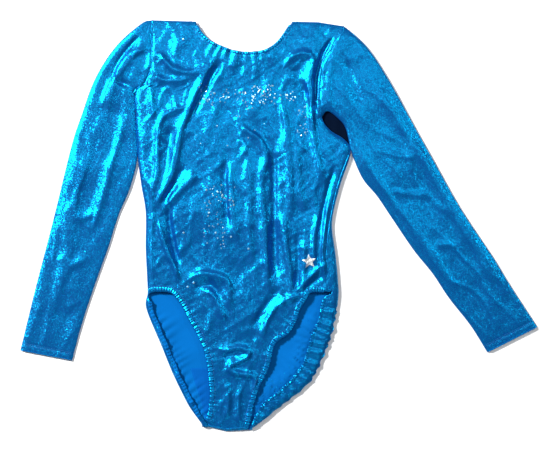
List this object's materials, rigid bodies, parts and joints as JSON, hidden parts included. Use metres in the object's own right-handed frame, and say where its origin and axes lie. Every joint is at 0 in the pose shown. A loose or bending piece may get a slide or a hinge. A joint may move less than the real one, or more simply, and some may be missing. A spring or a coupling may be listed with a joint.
{
  "type": "gymnastics leotard",
  "caption": "Long-sleeved gymnastics leotard in shiny blue foil-dot stretch cloth, laid flat, with gathered neck, elastic leg edges and rhinestones.",
  "frame": {"origin": "centre of the laid-flat garment's bounding box, on the surface that it lies on", "axes": "+X towards the wearer's left, +Y towards the neck, +Z out of the front of the garment"},
  "size_m": [0.777, 0.6154, 0.0137],
  "materials": {
    "foil_cloth": "shiny foil dots on stretch knit",
    "thread": "sewn seam, matt thread",
    "elastic": "woven elastic tape",
    "lining": "matt knit",
    "label": "blank woven satin",
    "silver": "heat-pressed silver foil",
    "crystal": "faceted flat-back stones"
  },
  "bodies": {
    "upper_torso": {"front_bodice_upper": "foil_cloth", "back_bodice_upper": "foil_cloth", "neck_hem": "foil_cloth", "neck_elastic": "elastic", "left_shoulder_seam": "thread", "right_shoulder_seam": "thread", "left_side_seam_upper": "thread", "right_side_seam_upper": "thread", "left_armhole_seam_front": "thread", "left_armhole_seam_back": "thread", "right_armhole_seam_front": "thread", "right_armhole_seam_back": "thread", "left_sleeve_cap": "foil_cloth", "right_sleeve_cap": "foil_cloth", "care_label": "label", "hip_star": "silver", "rhinestone_01": "crystal", "rhinestone_02": "crystal", "rhinestone_03": "crystal", "rhinestone_04": "crystal", "rhinestone_05": "crystal", "rhinestone_06": "crystal", "rhinestone_07": "crystal", "rhinestone_08": "crystal", "rhinestone_09": "crystal", "rhinestone_10": "crystal", "rhinestone_11": "crystal", "rhinestone_12": "crystal", "rhinestone_13": "crystal", "rhinestone_14": "crystal"},
    "lower_torso": {"front_bodice_lower": "foil_cloth", "back_bodice_lower": "foil_cloth", "left_leg_hem": "foil_cloth", "left_leg_elastic": "elastic", "right_leg_hem": "foil_cloth", "right_leg_elastic": "elastic", "crotch_seam": "thread", "crotch_lining": "lining", "left_side_seam_lower": "thread", "right_side_seam_lower": "thread"},
    "left_upper_arm": {"left_upper_sleeve": "foil_cloth", "left_underarm_seam_upper": "thread"},
    "left_forearm": {"left_forearm_sleeve": "foil_cloth", "left_cuff_hem": "foil_cloth", "left_underarm_seam_lower": "thread"},
    "right_upper_arm": {"right_upper_sleeve": "foil_cloth", "right_underarm_seam_upper": "thread"},
    "right_forearm": {"right_forearm_sleeve": "foil_cloth", "right_cuff_hem": "foil_cloth", "right_underarm_seam_lower": "thread"}
  },
  "joints": [
    {"name": "body_fold", "type": "hinge", "parent": "upper_torso", "child": "lower_torso", "pos_m": [-0.0555, -0.08143, 0.0225], "axis": [-1, 0, 0], "range_deg": [0, 180]},
    {"name": "right_sleeve_fold", "type": "hinge", "parent": "upper_torso", "child": "right_upper_arm", "pos_m": [-0.2215, 0.19856, 0.0152], "axis": [0.0499, 0.9988, 0], "range_deg": [0, 180]},
    {"name": "left_sleeve_fold", "type": "hinge", "parent": "upper_torso", "child": "left_upper_arm", "pos_m": [0.1255, 0.17456, 0.0152], "axis": [0.1198, -0.9928, 0], "range_deg": [0, 180]},
    {"name": "right_elbow_fold", "type": "hinge", "parent": "right_upper_arm", "child": "right_forearm", "pos_m": [-0.3089, 0.0152, 0.008], "axis": [-0.9825, 0.1865, 0], "range_deg": [0, 180]},
    {"name": "left_elbow_fold", "type": "hinge", "parent": "left_upper_arm", "child": "left_forearm", "pos_m": [0.25383, 0.01936, 0.008], "axis": [-0.9128, -0.4083, 0], "range_deg": [0, 180]}
  ]
}
